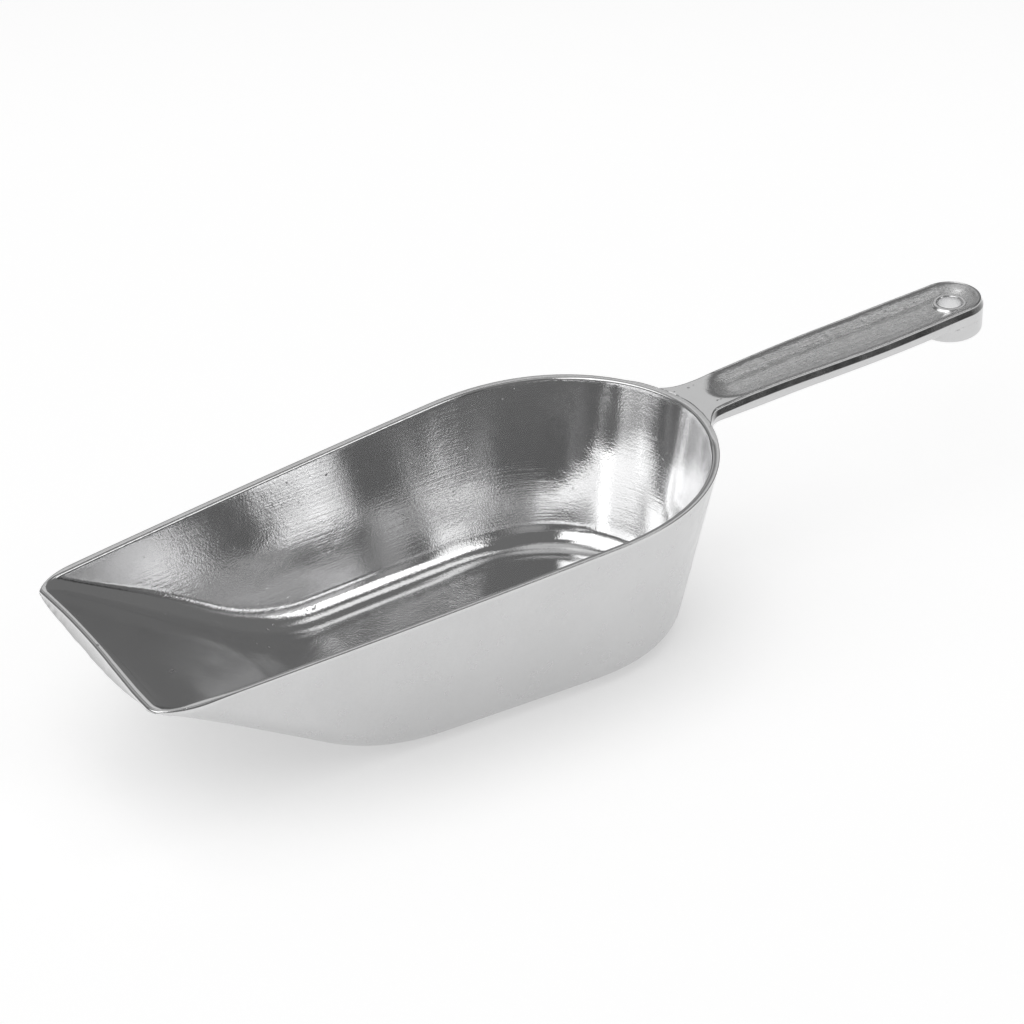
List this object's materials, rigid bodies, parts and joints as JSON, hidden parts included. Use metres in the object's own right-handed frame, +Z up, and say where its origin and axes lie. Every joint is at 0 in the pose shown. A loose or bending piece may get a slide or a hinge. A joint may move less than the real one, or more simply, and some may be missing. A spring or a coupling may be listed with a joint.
{
  "type": "ice scoop",
  "caption": "Cast aluminium flat-bottomed ice scoop: open bowl with a sloping front lip, channelled flat handle and a bored hanging boss at its end.",
  "frame": {"origin": "middle of the flat resting face under the bowl, on the plane of symmetry", "axes": "+X from the lip towards the handle, +Y to the left looking along +X, +Z up, away from the resting face"},
  "size_m": [0.2668, 0.086, 0.0563],
  "materials": {
    "bowl_cast": "polished casting, ground rim",
    "handle_cast": "tumbled casting, satin",
    "boss_cast": "tumbled casting, satin"
  },
  "bodies": {
    "root": {"bowl": "bowl_cast", "handle": "handle_cast", "hanging_boss": "boss_cast"}
  },
  "joints": []
}
